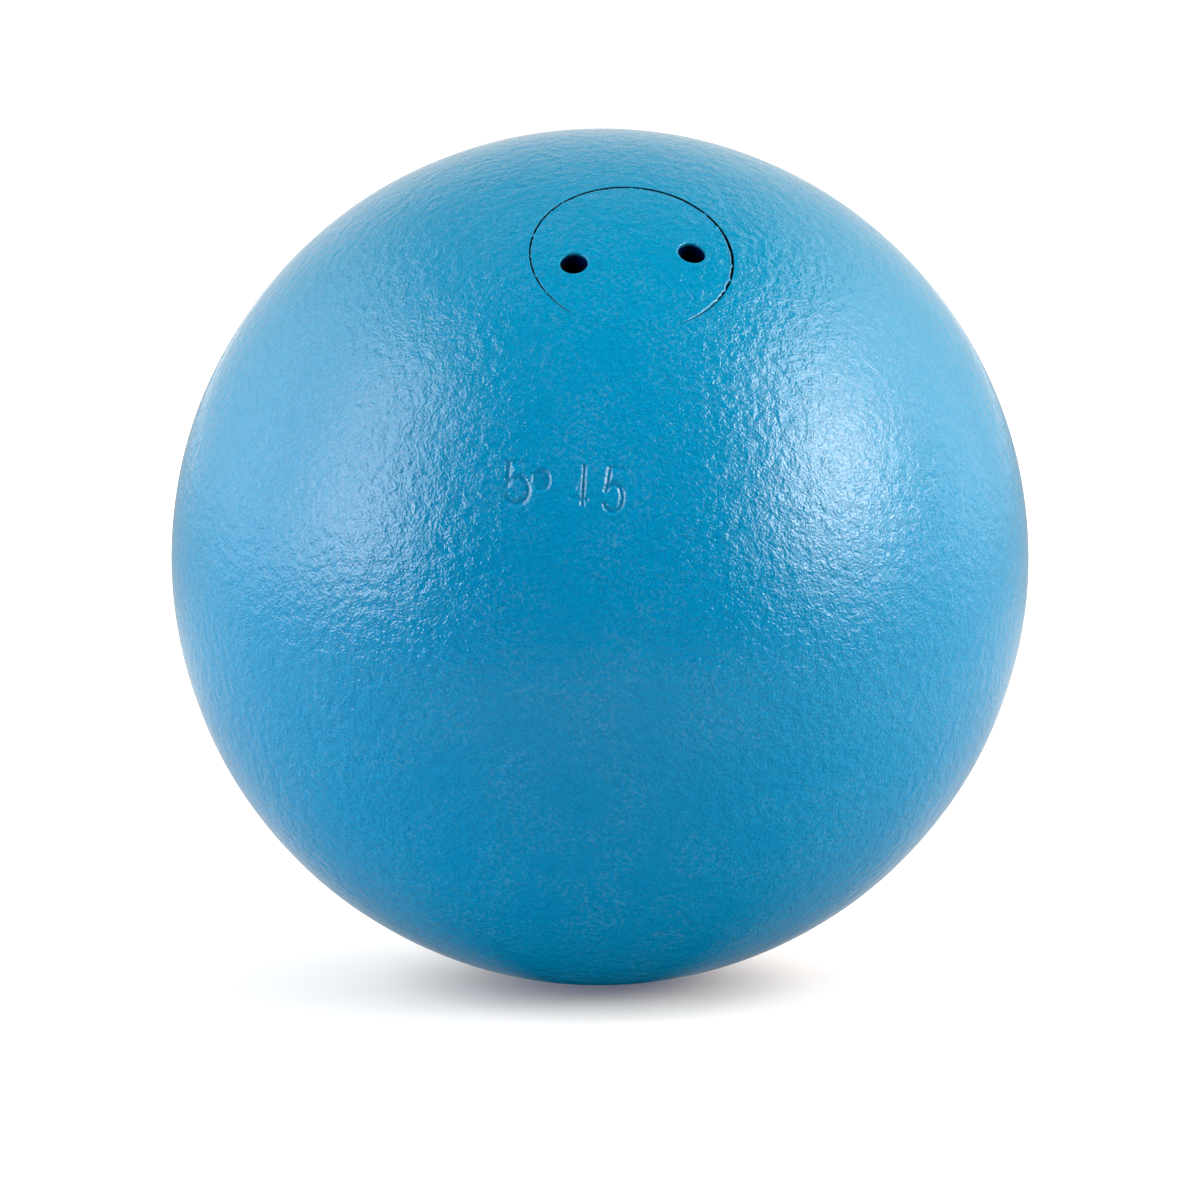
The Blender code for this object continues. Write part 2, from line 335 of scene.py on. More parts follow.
def addRing(bm, count, radius, height):
    radius = np.broadcast_to(radius, count)
    height = np.broadcast_to(height, count)
    angles = np.arange(count) * math.tau / count
    return [bm.verts.new((r * mm * math.cos(a), r * mm * math.sin(a), z * mm))
            for r, z, a in zip(radius, height, angles)]


def degreesRound(count):
    return np.arange(count) * 360 / count


def joinRings(bm, first, second, finish=0):
    if len(first) < len(second):
        first, second = second, first
    count = len(second)
    for i in range(len(first)):
        following = (i + 1) % len(first)
        if len(first) == count:
            faces = [(first[i], first[following], second[following], second[i])]
        elif count == 1:
            faces = [(first[i], first[following], second[0])]
        else:
            here, there = i // 2, (i // 2 + 1) % count
            faces = [(first[i], first[following], second[here if i % 2 == 0 else there])]
            if i % 2 == 0:
                faces.append((first[following], second[there], second[here]))
        for corners in faces:
            bm.faces.new(corners).material_index = finish


def joinAll(bm, rings, finish=0):
    for first, second in zip(rings, rings[1:]):
        joinRings(bm, first, second, finish)


def onBall(radius):
    # Height of the ball's surface this far off the plug's axis
    return np.sqrt(ballRadius ** 2 - np.square(radius))


def smoothStep(value):
    value = np.clip(value, 0, 1)
    return value * value * (3 - 2 * value)


def roundTheAxis(points, count):
    # A value that changes round the plug, from (degrees, value) points, at each vertex of a ring
    angles, values = zip(*points)
    return np.interp(degreesRound(count), angles, values, period=360)


thread = {
    "pitch": 2.5,
    "crest": 0.35,           # width of the plug thread's flat crest
    "crestRadius": 10.9,
    "coreRadius": 9.55,
    "gap": 0.2,              # between the two threads
    "flank": 30,
    "soft": 0.12,            # share of the depth that is rounded at crest and root
    "blunt": 0.6,            # what the rounding leaves of the crest's width
    "columns": 90,
}


def threadLines(inner, outer, grow):
    # (height, radius) of the lines that one turn of thread is wound from
    slope = math.tan(math.radians(thread["flank"]))

    def halfWidth(radius):
        return thread["crest"] / 2 + (thread["crestRadius"] - radius) * slope + grow

    soft = thread["soft"] * (outer - inner)
    lines = [(-halfWidth(inner), inner), (-halfWidth(inner + soft), inner + soft),
             (-halfWidth(outer - soft), outer - soft), (-halfWidth(outer) * thread["blunt"], outer)]
    return lines + [(-height, radius) for height, radius in reversed(lines)]


def threadWall(bm, lines, low, high, endRadius, fade, finish):
    # A helical wall between two flat ends, where the thread runs out into a plain round
    pitch, count, perTurn = thread["pitch"], thread["columns"], len(lines)
    turns = range(math.floor(low / pitch) - 2, math.ceil(high / pitch) + 2)
    wound = [(turn * pitch + height, radius) for turn in turns for height, radius in lines]
    bottom = addRing(bm, count, endRadius, low)
    top = addRing(bm, count, endRadius, high)
    columns = []
    for j in range(count):
        angle = j * math.tau / count
        column = []
        for height, radius in wound:
            height += pitch * j / count
            if height <= low or height >= high:
                column.append(bottom[j] if height <= low else top[j])
                continue
            depth = float(smoothStep(min(height - low, high - height) / fade))
            radius = endRadius + (radius - endRadius) * depth
            column.append(bm.verts.new((radius * mm * math.cos(angle), radius * mm * math.sin(angle),
                                        height * mm)))
        columns.append(column)
    columns.append(columns[0][perTurn:] + [top[0]] * perTurn)
    for here, there in zip(columns, columns[1:]):
        for i in range(len(wound) - 1):
            corners = list(dict.fromkeys((here[i], there[i], there[i + 1], here[i + 1])))
            if len(corners) > 2:
                bm.faces.new(corners).material_index = finish
    return bottom, top


skin = {
    "depth": 1,              # how far in from the ball's surface a vertex still belongs to the skin
    "waveSize": 17,
    "waveHeight": 0.07,
    "rippleSize": 5,
    "rippleHeight": 0.012,
}


def unevenSkin(bm):
    # A sand casting is never quite round: long shallow waves, with shorter ones on them
    for vert in bm.verts:
        distance = vert.co.length
        if distance > (ballRadius - skin["depth"]) * mm:
            place = vert.co / mm
            rise = skin["waveHeight"] * noise.noise(place / skin["waveSize"])
            rise += skin["rippleHeight"] * noise.noise(place / skin["rippleSize"])
            vert.co *= 1 + rise * mm / distance


def finishPiece(name, bm, body, nodes, materials):
    bm.transform(plugFrame)
    bmesh.ops.recalc_face_normals(bm, faces=bm.faces)
    bmesh.ops.triangulate(bm, faces=[face for face in bm.faces if len(face.verts) > 4])
    mesh = bpy.data.meshes.new(name)
    bm.to_mesh(mesh)
    bm.free()
    for material in materials:
        mesh.materials.append(material)
    mesh.shade_smooth()
    mesh.set_sharp_from_angle(angle=math.radians(sharpFrom))
    piece = bpy.data.objects.new(name, mesh)
    bpy.context.scene.collection.objects.link(piece)
    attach(piece, body)
    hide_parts(*nodes)
    return piece


# Crack in the paint round the plug's head. Angles go round the plug from the ball's right, over its top.
crack = {
    "mouthRadius": headRadius + 0.3,
    "width": [(0, 0.34), (30, 0.34), (60, 0.4), (100, 0.38), (140, 0.28), (165, 0.24), (200, 0.2),
              (218, 0.14), (228, 0.07), (236, 0), (290, 0), (297, 0.07), (318, 0.18), (335, 0.26),
              (350, 0.32)],
    "lipWidth": [(14, 0.2), (40, 0.12), (80, 0.06), (232, 0.04), (240, 0), (286, 0), (294, 0.18),
                 (312, 0.22)],
    "lipHeight": [(14, 0.06), (45, 0.01), (232, 0), (290, 0), (304, 0.12), (350, 0.1)],
    # strings of paint across it, and the share of its width that each one fills
    "strings": [(208, 0.5), (194, 0.5), (178, 0.4), (160.9, 1), (128, 0.4), (84.8, 0.5), (37.1, 0.6),
                (24.9, 0.5), (352.5, 0.5), (340.9, 0.7), (331.7, 0.8)],
    "stringSpan": 1.0,       # degrees
    "ragged": 0.4,           # share of the width that comes and goes
    "raggedness": 30,        # how quickly it does, round the plug
    "raggedPick": 5,         # another number gives another edge
    "closed": 0.012,         # what is left of the gap where paint closes it
}


def crackWidth(count):
    # Strings of paint bridge the crack here and there
    angles = degreesRound(count)
    width = roundTheAxis(crack["width"], count)
    for angle, share in crack["strings"]:
        away = (angles - angle + 180) % 360 - 180
        width = width * (1 - share * np.exp(-np.square(away / crack["stringSpan"])))
    quick, pick = crack["raggedness"], crack["raggedPick"]
    ragged = np.array([noise.noise(Vector((math.cos(a) * quick, math.sin(a) * quick, pick)))
                       for a in np.radians(angles)])
    width = width * (1 + crack["ragged"] * ragged)
    return np.maximum(width, crack["closed"])


# Numerals stamped into the casting before it was painted, each from its own punch
stamp = {
    "latitude": 15.3,
    "longitude": -10.9,      # from the ball's front, towards its right
    "depth": 0.23,
    "narrow": 0.4,           # share of the depth that the narrowest stroke has
    "broad": 0.9,            # what is added to it for each millimetre of half a stroke
    "floor": 0.1,            # half the flat floor of a stroke
    "rim": 0.03,             # height of the metal pushed up along a stroke
    "rimOut": 0.1,           # how far out its top is
    "rimWidth": 0.2,
    "rimClear": 0.3,         # no rim where a stroke is deeper than this share
    "dotDepth": 0.8,
    "dotFlank": (0.8, 0.3),  # where the ring's flank begins and how wide it is, in radii
    "dotRim": (1.14, 0.1),
    # kind, how far right and up, width, height, lean in degrees, half a whole stroke with its soft flanks
    "numerals": [("five", -6.3, 0.5, 3.1, 5.1, 2, 0.68), ("dot", -3.2, 0.9, 2.5, 3.0, 0, 0),
                 ("four", 1.66, 0.25, 2.0, 4.9, -2, 0.42), ("five", 6.1, -0.3, 2.4, 5.5, -4, 0.5)],
    "zones": [(12.6, 6.4), (11.7, 5.6), (10.9, 4.9)],    # half the width and height of each finer mesh
    "onSphere": 0.01,        # how near the sphere the vertices that are pressed in lie
}


def arc(centre, radii, first, last, count=18):
    angles = np.radians(np.linspace(first, last, count))
    return np.stack([centre[0] + radii[0] * np.cos(angles), centre[1] + radii[1] * np.sin(angles)], 1)


def numeralStrokes(kind):
    # Strokes of a numeral in a box one wide and one high about the origin, each with its share of the depth
    if kind == "five":
        bowl = arc((-0.04, -0.18), (0.48, 0.32), 152, -150)
        strokes = [([(0.4, 0.49), (-0.34, 0.49)], 0.5), ([(-0.34, 0.49), (-0.42, 0.02)], 1), (bowl, 0.9)]
    else:
        strokes = [([(0.24, 0.5), (0.24, -0.5)], 1), ([(0.2, 0.5), (-0.5, -0.3)], 0.3),
                   ([(-0.5, -0.34), (0.5, -0.36)], 0.6)]
    return [(np.array(stroke), share) for stroke, share in strokes]


def stampPlace():
    # Centre, rightward and upward directions of the mark, in the plug's frame
    centre = outFrom(stamp["longitude"], stamp["latitude"])
    turn = math.radians(stamp["longitude"])
    rightward = Vector((math.cos(turn), math.sin(turn), 0))
    directions = (centre, rightward, centre.cross(rightward))
    return [intoPlugFrame(direction).normalized() for direction in directions]


def stampCoordinates(points):
    # How far right and up of the mark's centre each point lies on the ball, and whether it is on that side
    centre, rightward, upward = [np.array(direction) for direction in stampPlace()]
    along = np.arctan2(points @ rightward, points @ centre)
    up = np.arcsin(np.clip(points @ upward / np.linalg.norm(points, axis=1), -1, 1))
    return np.stack([along, up], 1) * ballRadius, points @ centre > 0


def distanceTo(stroke, points):
    # Shortest distance from each point to a line of joined straight pieces
    best = np.full(len(points), 1e9)
    for start, end in zip(stroke, stroke[1:]):
        run = end - start
        share = np.clip((points - start) @ run / (run @ run), 0, 1)
        best = np.minimum(best, np.linalg.norm(points - start - share[:, None] * run, axis=1))
    return best


def stampDepth(points):
    deepest = np.zeros(len(points))
    raised = np.zeros(len(points))
    for kind, right, up, width, height, lean, reach in stamp["numerals"]:
        turn = math.radians(lean)
        upright = np.array([[math.cos(turn), -math.sin(turn)], [math.sin(turn), math.cos(turn)]])
        local = (points - (right, up)) @ upright
        marks = []
        if kind == "dot":
            away = np.linalg.norm(local / (width / 2, height / 2), axis=1)
            (begins, flank), (out, wide) = stamp["dotFlank"], stamp["dotRim"]
            marks.append((stamp["depth"] * stamp["dotDepth"] * (1 - smoothStep((away - begins) / flank)),
                          np.exp(-np.square((away - out) / wide))))
        else:
            deep = stamp["narrow"] + stamp["broad"] * reach
            for stroke, share in numeralStrokes(kind):
                away = distanceTo(stroke * (width, height), local)
                fall = (away - stamp["floor"]) / (reach - stamp["floor"])
                rim = np.exp(-np.square((away - reach - stamp["rimOut"]) / stamp["rimWidth"]))
                marks.append((stamp["depth"] * share * deep * (1 - smoothStep(fall)), share * rim))
        for sunk, rim in marks:
            deepest = np.maximum(deepest, sunk)
            raised = np.maximum(raised, rim)
    return deepest - stamp["rim"] * raised * (deepest < stamp["rimClear"] * stamp["depth"])


def strikeNumerals(bm):
    # Finer faces where the mark goes, put back onto the sphere, then pressed in
    for across, high in stamp["zones"]:
        outermost = (ballRadius - skin["depth"]) * mm
        faces = [face for face in bm.faces if face.calc_center_median().length > outermost]
        spots, front = stampCoordinates(np.array([face.calc_center_median() for face in faces]) / mm)
        inside = (abs(spots[:, 0]) < across) & (abs(spots[:, 1]) < high) & front
        edges = {edge for face, chosen in zip(faces, inside) if chosen for edge in face.edges}
        made = bmesh.ops.subdivide_edges(bm, edges=list(edges), cuts=1, use_grid_fill=True)
        for item in made["geom_inner"]:
            if isinstance(item, bmesh.types.BMVert):
                item.co *= ballRadius * mm / item.co.length
    verts = [vert for vert in bm.verts if vert.co.length > (ballRadius - stamp["onSphere"]) * mm]
    spots, front = stampCoordinates(np.array([vert.co for vert in verts]) / mm)
    across, high = stamp["zones"][-1]
    near = (abs(spots[:, 0]) < across) & (abs(spots[:, 1]) < high) & front
    for vert, depth in zip(verts, stampDepth(spots) * near):
        if depth:
            vert.co *= 1 - depth / ballRadius


# Ball
ball = {
    "columns": 360,
    "step": 1.0,             # between rings, away from the plug
    "firstStep": 0.08,
    "growth": 1.35,
    "edge": 0.05,            # roundness of the casting's edge at the crack
    "edgeFrom": 0.05,        # width of crack from which the edge has its whole roundness
    "grimeAndShadeRun": (0.5, 1.1, 2.2),         # rings of grime and painted shade down the counterbore
    "seatHeight": 49.296,
    "seatSoft": 0.15,
    "coarseFrom": 2,         # over the seat, where half as many columns will do
    "mouthRadius": 11.4,
    "boreRadius": 9.75,
    "boreSoft": 0.1,
    "threadRoot": 11.1,
    "threadEnd": shankEnd - 2,
    "threadFade": 0.8,
    "chamberFloor": -35.938,
    "drillTip": -41.796,
}


def outerRings(bm):
    # From just outside the crack to the far side, with fewer vertices where the rings are small
    edge = crack["mouthRadius"] + ball["edge"]
    angle, step = math.asin(edge / ballRadius), ball["firstStep"]
    count, rings = ball["columns"], []
    while angle < math.pi - 0.5 * ball["step"] / ballRadius:
        rings.append(addRing(bm, count, ballRadius * math.sin(angle), ballRadius * math.cos(angle)))
        angle += step / ballRadius
        step = min(step * ball["growth"], ball["step"])
        spacing = math.tau * ballRadius * math.sin(angle) / count
        if angle > math.pi / 2 and spacing < ball["step"] / 2 and count % 2 == 0:
            count //= 2
    rings.append(addRing(bm, 1, 0, -ballRadius))
    return rings


def makeBall(paint, iron, grimeAndPaintedShade):
    bm = bmesh.new()
    outside = outerRings(bm)
    joinAll(bm, outside)
    wall, count, bore = crack["mouthRadius"], ball["columns"], ball["boreRadius"]
    soft = ball["edge"] * smoothStep(crackWidth(count) / ball["edgeFrom"])
    rim = [outside[0]]
    for degrees in (25, 50, 75, 90):
        turn = math.radians(degrees)
        radius = wall + ball["edge"] * (1 - math.sin(turn))
        rim.append(addRing(bm, count, radius, onBall(radius) - soft * (1 - math.cos(turn))))
    joinAll(bm, rim)
    # Down the crack's wall: grime and painted shade, near black
    crackWall = [rim[-1]] + [addRing(bm, count, wall, onBall(wall) - drop) for drop in ball["grimeAndShadeRun"]]
    joinAll(bm, crackWall, 2)

    floor = ball["seatHeight"]
    low, high = ball["threadEnd"], floor - (ball["mouthRadius"] - bore)
    lines = threadLines(bore, ball["threadRoot"], thread["gap"])
    bottom, top = threadWall(bm, lines, low, high, bore, ball["threadFade"], 1)
    seat = [crackWall[-1], addRing(bm, count, wall, floor + ball["coarseFrom"]),
            addRing(bm, count // 2, wall, floor + ball["seatSoft"]),
            addRing(bm, count // 2, wall - ball["seatSoft"], floor),
            addRing(bm, count // 4, ball["mouthRadius"], floor),
            addRing(bm, count // 4, bore + ball["boreSoft"], high + ball["boreSoft"]), top]
    joinAll(bm, seat, 1)
    chamber = [bottom, addRing(bm, count // 4, bore, (low + ball["chamberFloor"]) / 2),
               addRing(bm, count // 4, bore, ball["chamberFloor"]), addRing(bm, 1, 0, ball["drillTip"])]
    joinAll(bm, chamber, 1)

    strikeNumerals(bm)
    unevenSkin(bm)
    piece = finishPiece("enamelled_ball", bm, "ball", ["cast_ball"], [paint, iron, grimeAndPaintedShade])
    print("ball:", len(piece.data.polygons), "faces")


# Plug
plug = {
    "columns": 360,
    "domeRadius": 12.3,      # inside this the head is a free mesh round the two holes
    "domeStep": 0.55,
    "domeRow": 0.866,        # between rows of the free mesh, in steps
    "domeClear": 0.4,        # between it and its outer ring, in steps
    "domeBand": (0.15, 0.25),            # plain rings round it
    "holeRadius": 1.78,      # inside its coat of paint
    "holeColumns": 64,
    "holeRings": (0, 0.02, 0.05, 0.09, 0.13, 0.17, 0.23, 0.31),      # distances out from the hole's wall
    "holeOuterRings": (0.42, 0.58, 0.8),             # with half the columns
    "holeTwist": 2.8,        # degrees from ring to ring
    "holeClear": 1.1,        # where the free mesh begins
    "holeEdge": 0.11,
    "holePaint": 1.8,        # how deep paint has run into a hole
    "holePaintRagged": 0.5,  # how much higher and lower it ends
    "holeThroat": 0.5,       # depths of the rings down its wall
    "holeGrimeAndShade": 3.2,
    "holeFoot": (0.12, 0.93),            # height and share of the radius of its rounded foot
    "holeCore": 0.4,         # share of the radius of the ring on its floor
    # low lip round a hole, and how far out its top is, how wide it is and where it ends
    "holeLip": 0.035,
    "lipOut": 0.32,
    "lipWidth": 0.2,
    "lipEnd": 1.2,
    "beads": [(1, 120, 0.05)],           # hole, degrees round it and height
    "beadOut": 0.22,
    "beadWidth": 0.16,
    "beadSpan": 35,          # degrees
    "lipFrom": 0.3,          # share of the band outside the free mesh where the head's own lip begins
    "grimeAndShadeRun": 0.9,
    "headSoft": 0.25,
    "neckRadius": 9.25,
    "neckLength": 1.5,
    "neckSoft": 0.2,
    "shoulder": ball["seatHeight"] + 0.3,
    "threadLead": 0.1,
    "threadFade": 0.75,
    "chamfer": 1.0,
    "centreDrill": [(2.5, 0), (1.2, 1.1)],           # radius and depth in the shank's end
    "centreDepth": 1.8,
}
holes = [intoPlugFrame(mount["pos_m"]) for mount in frame["record"]["mounts"]
         if mount["name"].startswith("spanner_hole")]


def bell(distance, width):
    return math.exp(-(distance / width) ** 2)


def holeLip(index, away, angle):
    # Paint draws back from the edge of a hole into a low rounded lip, higher where a bead has set
    radius, edge = plug["holeRadius"], plug["holeEdge"]
    height = plug["holeLip"] * bell(away - radius - plug["lipOut"], plug["lipWidth"])
    for hole, degrees, extra in plug["beads"]:
        if hole == index:
            off = (math.degrees(angle) - degrees + 180) % 360 - 180
            out = away - radius - plug["beadOut"]
            height += extra * bell(off, plug["beadSpan"]) * bell(out, plug["beadWidth"])
    inside = min(1, max(0, (radius + edge - away) / edge))
    return height - edge * (1 - math.sqrt(1 - inside ** 2))


def domePoints():
    # Rings round each hole, then a triangle grid over the rest of the head
    points = [(plug["domeRadius"] * math.cos(a), plug["domeRadius"] * math.sin(a))
              for a in np.radians(degreesRound(plug["columns"] // 2))]
    rings = [(out, plug["holeColumns"]) for out in plug["holeRings"]]
    rings += [(out, plug["holeColumns"] // 2) for out in plug["holeOuterRings"]]
    for hole in holes:
        for ringIndex, (out, count) in enumerate(rings):
            distance = plug["holeRadius"] + out
            points += [(hole.x + distance * math.cos(a), hole.y + distance * math.sin(a))
                       for a in np.radians(degreesRound(count) + plug["holeTwist"] * ringIndex)]
    step, apart = plug["domeStep"], plug["domeRow"]
    rows = math.ceil(plug["domeRadius"] / (step * apart))
    clearOfHole = plug["holeRadius"] + plug["holeClear"]
    clearOfRim = plug["domeRadius"] - plug["domeClear"] * step
    for row in range(-rows, rows + 1):
        for column in range(-rows, rows + 1):
            x, y = (column + 0.5 * (row % 2)) * step, row * step * apart
            clear = all(math.hypot(x - hole.x, y - hole.y) > clearOfHole for hole in holes)
            if clear and math.hypot(x, y) < clearOfRim:
                points.append((x, y))
    return points


def dome(bm):
    # Head of the plug inside its rim. Returns its outer ring and the ring at each hole.
    flat, _, triangles, *_ = geometry.delaunay_2d_cdt([Vector(p) for p in domePoints()], [], [], 0, 1e-6)
    verts = []
    for x, y in flat:
        lift = 0
        for index, hole in enumerate(holes):
            away = math.hypot(x - hole.x, y - hole.y)
            if away < plug["holeRadius"] + plug["lipEnd"]:
                lift += holeLip(index, away, math.atan2(y - hole.y, x - hole.x))
        verts.append(bm.verts.new((x * mm, y * mm, (float(onBall(math.hypot(x, y))) + lift) * mm)))
    for corners in triangles:
        middle = sum((flat[i] for i in corners), Vector((0, 0))) / 3
        if all((middle - hole.xy).length > plug["holeRadius"] for hole in holes):
            bm.faces.new([verts[i] for i in corners])
    outer, count = plug["columns"] // 2, plug["holeColumns"]
    perHole = len(plug["holeRings"]) * count + len(plug["holeOuterRings"]) * (count // 2)
    starts = [outer + index * perHole for index in range(len(holes))]
    return [verts[:outer]] + [verts[start:start + count] for start in starts]


def drillHole(bm, hole, mouth):
    # Blind hole with a flat floor, its upper wall painted and its bottom near black with grime and painted shade
    top = float(onBall(math.hypot(hole.x, hole.y)))

    def ringAt(height, narrow, ragged=0):
        ring = []
        for vert in mouth:
            out = vert.co / mm - hole
            uneven = ragged * noise.noise(Vector((out.x, out.y, 3)))
            ring.append(bm.verts.new(((hole.x + out.x * narrow) * mm, (hole.y + out.y * narrow) * mm,
                                      (height + uneven) * mm)))
        return ring

    high, foot = plug["holeFoot"]
    painted = ringAt(top - plug["holePaint"], 1, plug["holePaintRagged"])
    joinAll(bm, [mouth, ringAt(top - plug["holeThroat"], 1), painted])
    joinAll(bm, [painted, ringAt(top - plug["holeGrimeAndShade"], 1), ringAt(hole.z + high, 1), ringAt(hole.z, foot),
                 ringAt(hole.z, plug["holeCore"]), [bm.verts.new(hole * mm)]], 2)


def makePlug(paint, steel, grimeAndPaintedShade):
    bm = bmesh.new()
    domeEdge, *mouths = dome(bm)
    for hole, mouth in zip(holes, mouths):
        drillHole(bm, hole, mouth)

    fine, count = plug["columns"] * 2, plug["columns"]
    edge = crack["mouthRadius"] - crackWidth(fine)
    soft = roundTheAxis(crack["lipWidth"], fine)
    lip = roundTheAxis(crack["lipHeight"], fine)
    first, inner = [plug["domeRadius"] + out for out in plug["domeBand"]]
    head = [domeEdge, addRing(bm, count, first, onBall(first))]
    for share in (0, 0.4, 0.7, 0.88, 1):
        radius = inner + (edge - soft - inner) * share
        rise = smoothStep((share - plug["lipFrom"]) / (1 - plug["lipFrom"]))
        head.append(addRing(bm, fine, radius, onBall(radius) + lip * rise))
    for degrees in (18, 36, 54, 72, 90):
        turn = math.radians(degrees)
        radius = edge - soft * (1 - math.sin(turn))
        head.append(addRing(bm, fine, radius, onBall(radius) + lip - soft * (1 - math.cos(turn))))
    joinAll(bm, head)
    side = float(onBall(headRadius))
    # The top of the plug's side under the crack: grime and painted shade
    skirt = [head[-1], addRing(bm, count, edge[::2], side - plug["grimeAndShadeRun"] / 2),
             addRing(bm, count, headRadius, side - plug["grimeAndShadeRun"])]
    joinAll(bm, skirt, 2)

    shoulder, neck, core = plug["shoulder"], plug["neckRadius"], thread["coreRadius"]
    threadTop = shoulder - plug["neckLength"]
    lines = threadLines(core, thread["crestRadius"], 0)
    bottom, top = threadWall(bm, lines, shankEnd + plug["chamfer"], threadTop, core, plug["threadFade"], 1)
    under = [skirt[-1], addRing(bm, count // 2, headRadius, shoulder + plug["headSoft"]),
             addRing(bm, count // 2, headRadius - plug["headSoft"], shoulder),
             addRing(bm, count // 4, neck + plug["neckSoft"], shoulder),
             addRing(bm, count // 4, neck, shoulder - plug["neckSoft"]),
             addRing(bm, count // 4, neck, threadTop + plug["threadLead"]), top]
    joinAll(bm, under, 1)
    end = [bottom, addRing(bm, count // 4, core - plug["chamfer"], shankEnd)]
    end += [addRing(bm, count // 4, radius, shankEnd + depth) for radius, depth in plug["centreDrill"]]
    end.append(addRing(bm, 1, 0, shankEnd + plug["centreDepth"]))
    joinAll(bm, end, 1)

    unevenSkin(bm)
    piece = finishPiece("enamelled_plug", bm, "plug", ["screw_plug"],
                        [paint, steel, grimeAndPaintedShade])
    print("plug:", len(piece.data.polygons), "faces")


# Packing and load
packing = {
    "columns": 120,
    "sideStep": 1.5,
    # steps in the rounded edge, rings on the flat faces, depth of the dents and their size
    "felt": {"rounding": 0.6, "corners": 5, "rings": 14, "dent": 0.12, "dentSize": 1.1},
    "dowel": {"rounding": 1.0, "corners": 1, "rings": 10, "dent": 0.03, "dentSize": 2.5},
}


def roundBar(name, node, body, material, shape):
    # A turned bar or disc in the space of its CAD solid, with shallow dents all over
    radius, low, high = reachOf(node)
    count, rings, rounding = packing["columns"], shape["rings"], shape["rounding"]
    bm = bmesh.new()
    profile = [(radius * i / rings, high) for i in range(1, rings) if radius * i / rings < radius - rounding]
    turns = np.radians(np.linspace(0, 90, shape["corners"] + 1))
    profile += [(radius - rounding * (1 - math.sin(t)), high - rounding * (1 - math.cos(t))) for t in turns]
    middle = (low + high) / 2
    sides = max(2, round((high - low - 2 * rounding) / packing["sideStep"]))
    edge = high - rounding
    profile += [(radius, edge - (edge - middle) * i / sides) for i in range(1, sides + 1)]
    profile += [(r, low + high - z) for r, z in reversed(profile[:-1])]
    rounds = [addRing(bm, 1, 0, high)] + [addRing(bm, count, r, z) for r, z in profile]
    joinAll(bm, rounds + [addRing(bm, 1, 0, low)])
    centre = Vector((0, 0, middle * mm))
    for vert in bm.verts:
        spot = vert.co / mm
        dent = shape["dent"] * (0.5 + 0.5 * noise.fractal(spot / shape["dentSize"], 1.0, 2.0, 3))
        vert.co += (centre - vert.co).normalized() * max(0.0, dent) * mm
    return finishPiece(name, bm, body, [node], [material])


def makePacking(felt, beech):
    for name, node, body in (("pressed_felt_pad", "felt_pad", "pad"),
                             ("pressed_felt_wad", "felt_wad", "ball")):
        disc = roundBar(name, node, body, felt, packing["felt"])
    roundBar("turned_beech_dowel", "spacer_dowel", "ball", beech, packing["dowel"])
    print("packing: two felts and a dowel")


shot = {
    "subdivisions": 4,
    "pressed": 0.07,         # how flat the flattest side is, in radii
    "flats": 1.3,            # more gives more and smaller flats
    "apart": 7.1,            # between the pieces' patches of noise, so that no two are alike
}


def makeLoad(lead):
    # Cast shot is a little out of round, with small flats where it has been pressed together
    names = sorted(name for name in frame["nodes"] if name.startswith("lead_pellet"))
    for number, name in enumerate(names, start=1):
        spots = [intoPlugFrame(v.co) for v in frame["nodes"][name].data.vertices]
        centre = sum(spots, Vector()) / len(spots)
        radius = max((spot - centre).length for spot in spots)
        bm = bmesh.new()
        bmesh.ops.create_icosphere(bm, subdivisions=shot["subdivisions"], radius=radius * mm)
        for vert in bm.verts:
            place = vert.co.normalized() * shot["flats"] + Vector((number * shot["apart"], 0, 0))
            vert.co *= 1 - shot["pressed"] * (0.5 + 0.5 * noise.noise(place))
        bmesh.ops.translate(bm, verts=bm.verts, vec=centre * mm)
        finishPiece(f"lead_shot_{number:02d}", bm, "ball", [name], [lead])
    print("load:", len(names), "lead shot")


